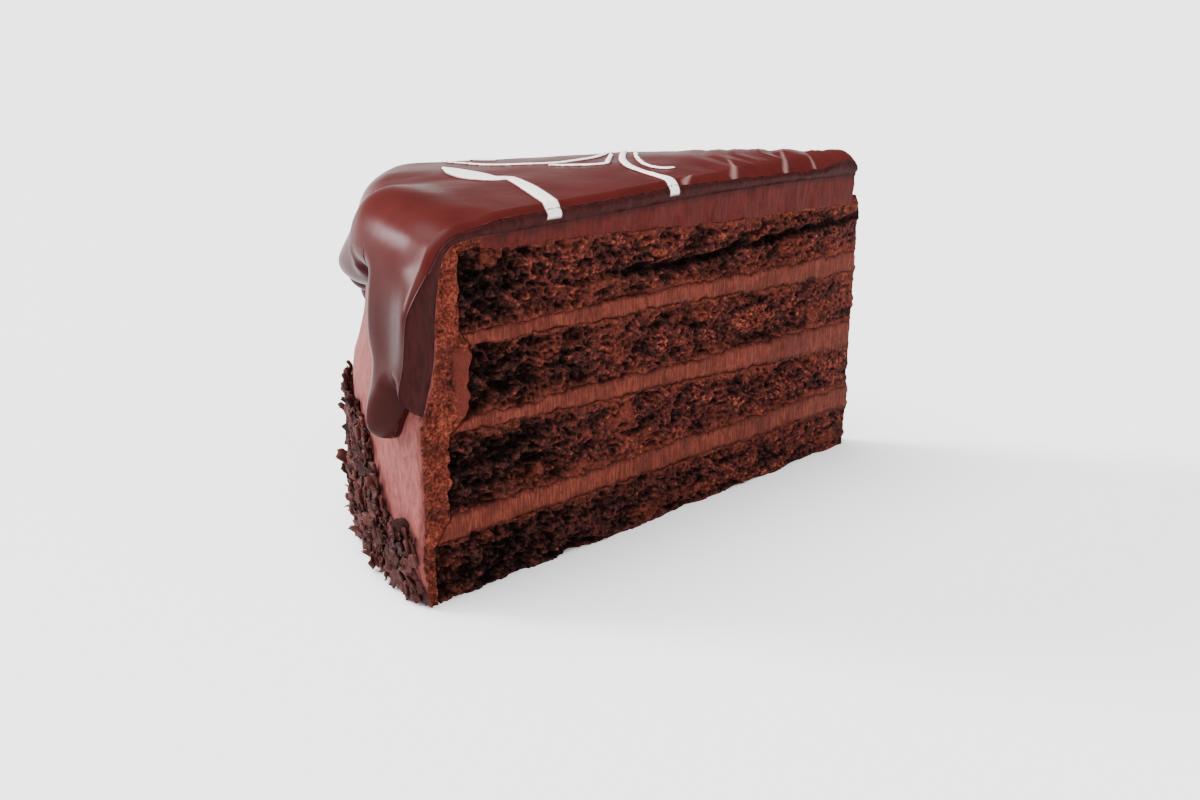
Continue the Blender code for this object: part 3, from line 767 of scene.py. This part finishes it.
# One drip: the middle of its end and its half widths to the near and the far cut, along
# the rim; its lowest point; how far its ridge stands above the sheet, lower down and at
# the shoulder; how far the ridge reaches on its gentle near side and its steep far side;
# how far it leans to the far side at the shoulder, and how far down it has its full height
Drip = namedtuple("Drip", "middle near far lowest stands at_top gentle steep leans full")
DRIPS = (
    Drip(0.0000, 0.0095, 0.0095, 0.0390, 0.0028, -0.0012, 0.0055, 0.0055, 0.0000, -0.0040),
    Drip(0.0086, 0.0064, 0.0100, 0.0325, 0.0022, 0.0030, 0.0052, 0.0036, 0.0200, 0.0060),
    Drip(0.0400, 0.0170, 0.0150, 0.0548, 0.0028, -0.0014, 0.0120, 0.0120, 0.0000, 0.0060),
    Drip(0.0570, 0.0060, 0.0060, 0.0480, 0.0012, 0.0000, 0.0040, 0.0040, 0.0000, 0.0120),
    Drip(0.0680, 0.0066, 0.0076, 0.0420, 0.0012, 0.0000, 0.0040, 0.0040, 0.0000, 0.0120),
)
DRIP_SQUARE = {"near": 2.2, "far": 1.6}
LEANS_OVER = (0.040, 0.072)
SHOULDER_HEIGHTS = (0.056, 0.068)

# White strokes: points as (inward, distance from the near cut, width)
DRIZZLES = (
    (
        (0.0316, 0.0002, 0.0044), (0.0342, 0.0070, 0.0044), (0.0364, 0.0130, 0.0042),
        (0.0384, 0.0200, 0.0032),
    ),
    (
        (0.0382, 0.0208, 0.0028), (0.0356, 0.0228, 0.0055), (0.0349, 0.0271, 0.0080),
        (0.0349, 0.0327, 0.0070), (0.0360, 0.0400, 0.0008),
    ),
    (
        (0.0430, 0.0470, 0.0008), (0.0463, 0.0362, 0.0012), (0.0545, 0.0287, 0.0012),
        (0.0662, 0.0263, 0.0015), (0.0765, 0.0303, 0.0017),
    ),
    (
        (0.0545, 0.0262, 0.0005), (0.0577, 0.0227, 0.0009), (0.0632, 0.0188, 0.0012),
        (0.0681, 0.0221, 0.0012), (0.0750, 0.0280, 0.0008),
    ),
    (
        (0.0800, 0.0288, 0.0016), (0.0712, 0.0209, 0.0019), (0.0665, 0.0146, 0.0024),
        (0.0649, 0.0090, 0.0022), (0.0645, 0.0002, 0.0034),
    ),
    (
        (0.0820, 0.0270, 0.0010), (0.0755, 0.0207, 0.0011), (0.0707, 0.0141, 0.0013),
        (0.0697, 0.0101, 0.0013), (0.0707, 0.0080, 0.0011), (0.0730, 0.0073, 0.0004),
    ),
    (
        (0.0510, 0.0466, 0.0045), (0.0520, 0.0442, 0.0030), (0.0523, 0.0420, 0.0005),
    ),
)
# Faint pale streaks near the tip, given the same way: partly milk of the white chocolate, partly a
# painted sheen on the folds of the glaze
MILK_AND_SHEEN_STROKES = (
    (
        (0.1093, 0.0071, 0.0005), (0.1040, 0.0025, 0.0013), (0.1012, 0.0002, 0.0016),
    ),
    (
        (0.1150, 0.0050, 0.0004), (0.1118, 0.0002, 0.0012),
    ),
    (
        (0.0905, 0.0075, 0.0004), (0.0868, 0.0030, 0.0014), (0.0835, 0.0002, 0.0022),
    ),
    (
        (0.0720, 0.0020, 0.0005), (0.0680, 0.0002, 0.0018),
    ),
)
DRIZZLE_STANDS = 0.0004
WHITE_SHOWS = (0.12, 0.34)
WHITE_CHOCOLATE = (0.830, 0.780, 0.740)
MILK_AND_SHEEN = (0.330, 0.200, 0.190)
GLAZE_TONES = ((0.3, (0.044, 0.0062, 0.0054)), (0.7, (0.056, 0.0084, 0.0074)))
# Painted shade: the darker colour given to the glaze down the drips on the rim
DRIP_PAINTED_SHADE = (0.0250, 0.0044, 0.0040)
# The cut face of the glaze: coloured darker than the glaze's own colour, which is painted shade
CUT_GLAZE_SHADE_TONES = ((0.3, (0.016, 0.0032, 0.0031)), (0.7, (0.034, 0.0064, 0.0062)))
GLAZE_TOP_ROWS = 184
GLAZE_SHOULDER_ROWS = 44
GLAZE_SIDE_ROWS = 84
GLAZE_ACROSS = 230
NEAR_DENSER = 0.45
SHOULDER_STARTS = 0.100


def hem_heights(along_rim):
    """Where the glaze ends on the rim: the hem, or the round end of a drip below it."""
    lowest = np.full_like(along_rim, GLAZE_HEM)
    for drip in DRIPS:
        near_side = along_rim < drip.middle
        half = np.where(near_side, drip.near, drip.far)
        off = np.minimum(np.abs(along_rim - drip.middle) / half, 1.0)
        square = np.where(near_side, DRIP_SQUARE["near"], DRIP_SQUARE["far"])
        hang = (1.0 - off**square) ** (1.0 / square)
        lowest = np.minimum(lowest, mix(GLAZE_HEM, drip.lowest, hang))
    return lowest


fine_along = np.arange(-8.0 * HEM_STEP, RIM_LENGTH + 8.0 * HEM_STEP, HEM_STEP / 6.0)
fine_height = hem_heights(fine_along)
run = np.concatenate(([0.0], np.cumsum(np.hypot(np.diff(fine_along), np.diff(fine_height)))))
even = np.arange(0.0, run[-1], HEM_STEP)
hem_tree = kdtree.KDTree(len(even))
hem_points = zip(np.interp(even, run, fine_along), np.interp(even, run, fine_height))
for number, spot in enumerate(hem_points):
    hem_tree.insert((*spot, 0.0), number)
hem_tree.balance()


def glaze_stands(distance, along_rim, height):
    """Thickness of the glaze: full on top, ridged down each drip, round at its edges."""
    thick = np.full_like(distance, GLAZE_THICK)
    for drip in DRIPS:
        leans = drip.leans * smooth_step(height, *LEANS_OVER)
        off = along_rim - drip.middle - leans
        swell = smooth_step(distance, CORNER - SWELL_STARTS, CORNER + drip.full)
        stands = mix(drip.stands, drip.at_top, smooth_step(height, *SHOULDER_HEIGHTS))
        spread = np.where(off < 0.0, drip.gentle + 0.5 * leans, drip.steep)
        thick += stands * swell * np.exp(-((off / spread) ** 2))
    edge = np.full_like(distance, 1.0)
    low = distance > CORNER - SWELL_STARTS
    edge[low] = [hem_tree.find((*spot, 0.0))[2] for spot in zip(along_rim[low], height[low])]
    from_tip = np.minimum(distance / GLAZE_TIP_ROUND, 1.0)
    near = np.minimum(np.minimum(edge / GLAZE_EDGE_ROUND, 1.0), mix(GLAZE_TIP_EDGE, 1.0, from_tip))
    return np.maximum(thick * np.sqrt(1.0 - (1.0 - near) ** 2), GLAZE_LEAST)


def stroke_share(inward, from_cut, points):
    """1 in the middle of a stroke, falling to 0 at its edge."""
    line_inward, line_from_cut, width = Outline(points).places.T
    gap = np.hypot(inward[:, None] - line_inward, from_cut[:, None] - line_from_cut)
    half = 0.5 * width[gap.argmin(axis=1)]
    return np.clip(1.0 - gap.min(axis=1) / half, 0.0, 1.0)


side_shares = 1.0 - (1.0 - np.linspace(0.0, 1.0, GLAZE_SIDE_ROWS + 1)) ** HEM_DENSER
across_grid = np.linspace(0.0, 1.0, GLAZE_ACROSS + 1)
across_grid = mix(across_grid, across_grid**2, NEAR_DENSER)
flat = np.concatenate((np.linspace(0.0, SHOULDER_STARTS, GLAZE_TOP_ROWS, endpoint=False),
                       np.linspace(SHOULDER_STARTS, CORNER, GLAZE_SHOULDER_ROWS, endpoint=False)))
down = COAT.down_to(hem_heights(across_grid * RIM_LENGTH))
distance = np.concatenate((np.repeat(flat[:, None], len(across_grid), axis=1),
                           mix(CORNER, down[None, :], side_shares[:, None])))
across = np.repeat(across_grid[None, :], len(distance), axis=0)
shape = distance.shape
distance, across = distance.ravel(), across.ravel()
under_inward, under_height, out_inward, out_height = COAT.at(distance)
along_rim = across * RIM_LENGTH
stand = GAP + glaze_stands(distance, along_rim, under_height)
reach = rim_distance(across) * (1.0 - under_inward / CUT_LENGTH)
at_cut = np.minimum(across, 1.0 - across) * reach * SLICE_ANGLE
towards_tip = smooth_step(under_inward, *TIP_WRINKLED)
rounding = np.clip(1.0 - at_cut / mix(*CUT_ROUNDS, towards_tip), 0.0, 1.0) ** 2
rounding *= 1.0 - smooth_step(distance, CORNER, CORNER + 0.02)
lowered = GLAZE_CUT_LIP * mix(*CUT_LOWERS, towards_tip) * rounding
stand -= lowered * smooth_step(distance, 0.0, 0.02)
uneven = GLAZE_UNEVEN * waves(under_inward / 0.012, at_cut / 0.012, 1.0)
stand += uneven * smooth_step(distance, 0.002, 0.01)
folded = towards_tip * smooth_step(distance, 0.001, 0.008)
for stands, length, slant, width, pattern in FOLDS:
    fold = waves(under_inward / length + at_cut / slant, at_cut / width, pattern)
    stand += stands * folded * fold

from_cut = reach * np.sin(across * SLICE_ANGLE)
along_cut = CUT_LENGTH - reach * np.cos(across * SLICE_ANGLE)
white, faint = np.zeros_like(distance), np.zeros_like(distance)
on_top = distance < CORNER
for strokes, stroked in ((DRIZZLES, white), (MILK_AND_SHEEN_STROKES, faint)):
    for points in strokes:
        share = stroke_share(along_cut[on_top], from_cut[on_top], points)
        stroked[on_top] = np.maximum(stroked[on_top], share)
stand += DRIZZLE_STANDS * smooth_step(white, 0.0, 0.5)

outer = slice_points(under_inward + out_inward * stand, across, under_height + out_height * stand)
index = np.arange(shape[0] * shape[1]).reshape(shape)
corners = (index[:-1, :-1], index[1:, :-1], index[1:, 1:], index[:-1, 1:])
faces = [np.stack(corners, axis=-1).reshape(-1, 4)]
loop = np.concatenate((index[:, 0], index[-1, 1:], index[::-1, -1][1:], index[0, ::-1][1:-1]))
inner = slice_points(under_inward[loop], across[loop], under_height[loop])
rings = [outer]
number = len(outer)
before = loop
lip_marks = [np.zeros(len(outer))]
edge_side = np.where((across[loop] == 0.0) | (across[loop] == 1.0), 1.0, 0.0)
for row in range(1, LIP_ROWS + 1):
    share = row / LIP_ROWS
    bulge = LIP_BULGE * math.sin(math.pi * min(share * 1.15, 1.0)) * edge_side
    wave = waves(under_inward[loop] / 0.003, share * 2.0 + across[loop] * 20.0, 4.0)
    outwards = (bulge + LIP_WAVY * wave * edge_side)[:, None]
    rings.append(mix(outer[loop], inner, share) + cut_normals(across[loop]) * outwards)
    lip_marks.append(np.full(len(loop), share))
    after = number + np.arange(len(loop))
    corners = (np.roll(before, -1), np.roll(after, -1), after, before)
    faces.append(np.stack(corners, axis=-1))
    number += len(loop)
    before = after
points = np.concatenate(rings)
faces = np.concatenate(faces)
white = np.concatenate((white, np.tile(white[loop], LIP_ROWS)))
faint = np.concatenate((faint, np.zeros(LIP_ROWS * len(loop))))
# Painted shade down the drips, from just above the shoulder's corner
low = smooth_step(distance, CORNER - 0.002, CORNER + 0.018)
low = np.concatenate((low, np.tile(low[loop], LIP_ROWS)))
marks = {"white": white, "lip": np.concatenate(lip_marks), "low": low, "faint": faint}

glaze_finish = Finish("Poured chocolate glaze", {"Roughness": 0.33, "Specular IOR Level": 0.06})
swell = glaze_finish.grain(0.009, 2.0)
glaze_colour = glaze_finish.tones(swell, GLAZE_TONES)
# Painted shade on the drips
glaze_colour = glaze_finish.blend(glaze_finish.mark("low"), glaze_colour, DRIP_PAINTED_SHADE)
# Faint streaks: partly milky glaze, partly painted sheen
glaze_colour = glaze_finish.blend(glaze_finish.mark("faint") * 0.55, glaze_colour, MILK_AND_SHEEN)
frayed = (glaze_finish.grain(0.002, 3.0) - 0.5) * 0.12
milky = glaze_finish.ranged(glaze_finish.mark("white") + frayed, *WHITE_SHOWS)
glaze_colour = glaze_finish.blend(milky, glaze_colour, WHITE_CHOCOLATE)
glaze_finish.shade(glaze_colour, glaze_finish.bumped(swell, 0.0010, 0.15))

# The cut face is matte, and its darker colour is painted shade on the cut
lip_finish = Finish("Glaze where it was cut", {"Roughness": 0.55, "Specular IOR Level": 0.05})
lip_grain = lip_finish.grain(0.0010, 4.0, (1.0, 1.0, 4.0))
lip_colour = lip_finish.tones(lip_grain, CUT_GLAZE_SHADE_TONES)
run_over = lip_finish.ranged(lip_finish.mark("lip"), 0.75, 0.45)
lip_milky = lip_finish.ranged(lip_finish.mark("white"), *WHITE_SHOWS) * run_over
lip_colour = lip_finish.blend(lip_milky, lip_colour, WHITE_CHOCOLATE)
lip_finish.shade(lip_colour, lip_finish.bumped(lip_grain, 0.0003, 0.5))

glaze_piece = make_piece("glaze_poured", points, faces, glaze_finish.material, marks)
glaze_piece.data.materials.append(lip_finish.material)
on_skin = np.zeros(len(faces) - LIP_ROWS * len(loop))
is_lip = np.concatenate((on_skin, np.tile(edge_side, LIP_ROWS)))
glaze_piece.data.polygons.foreach_set("material_index", is_lip.astype(np.int32))
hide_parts("glaze")
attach(glaze_piece, "root")


# The photograph's setting: a plain pale floor and soft light from the left, behind and
# above, with the camera in front of the near cut's left end, a little above the slice.

FLOOR_HALF = 30.0
quarters = ((-1, -1), (1, -1), (1, 1), (-1, 1))
floor_corners = [(FLOOR_HALF * x, FLOOR_HALF * y, 0.0) for x, y in quarters]
floor_mesh = bpy.data.meshes.new("floor")
floor_mesh.from_pydata(floor_corners, [], [(0, 1, 2, 3)])
floor = bpy.data.objects.new("floor", floor_mesh)
bpy.context.scene.collection.objects.link(floor)
floor_finish = Finish("Pale floor", {"Base Color": (0.92, 0.92, 0.92, 1.0), "Roughness": 0.9})
floor_mesh.materials.append(floor_finish.material)

# The room is bright only just above the horizon, as the white backdrop is, and dim higher up
ROOM_GLOW = {"From Min": 0.07, "From Max": 0.20, "To Min": 3.0, "To Max": 0.20}
world = bpy.data.worlds.new("Dim room")
world.use_nodes = True
room = Nodes(world.node_tree)
backdrop = room.tree.nodes["Background"]
backdrop.inputs["Color"].default_value = (1.0, 0.98, 0.97, 1.0)
heading = room.node("ShaderNodeTexCoord", {}, {}, "Generated")
upward = room.node("ShaderNodeSeparateXYZ", {}, {0: heading}, "Z")
glow = room.node("ShaderNodeMapRange", {}, {"Value": upward, **ROOM_GLOW}, "Result")
room.feed(glow, backdrop.inputs["Strength"])
bpy.context.scene.world = world

# Each light: the direction it comes from, how wide it is in degrees, its strength and colour
LIGHTS = (
    ("overhead_softbox", (-0.32, 0.05, 0.95), 60.0, 8.4, (1.0, 1.0, 1.0)),
    ("left_window", (-0.70, 0.56, 0.42), 18.0, 6.2, (1.0, 0.85, 0.88)),
    ("front_fill", (0.25, -0.85, 0.45), 70.0, 1.4, (1.0, 1.0, 1.0)),
)
for name, comes_from, width, strength, colour in LIGHTS:
    lamp = bpy.data.lights.new(name, "SUN")
    lamp.angle = math.radians(width)
    lamp.energy = strength
    lamp.color = colour
    holder = bpy.data.objects.new(name, lamp)
    holder.rotation_euler = Vector(comes_from).to_track_quat("Z", "Y").to_euler()
    bpy.context.scene.collection.objects.link(holder)

CAMERA_PLACE = (-0.1247, -0.23268, 0.1128)
CAMERA_LOOKS = (0.43157, 0.84187, -0.32405)
lens = bpy.data.cameras.new("camera")
lens.lens = 36.0
lens.sensor_width = 36.0
lens.clip_start = 0.01
camera = bpy.data.objects.new("camera", lens)
camera.location = CAMERA_PLACE
camera.rotation_euler = Vector(CAMERA_LOOKS).to_track_quat("-Z", "Y").to_euler()
bpy.context.scene.collection.objects.link(camera)
bpy.context.scene.camera = camera
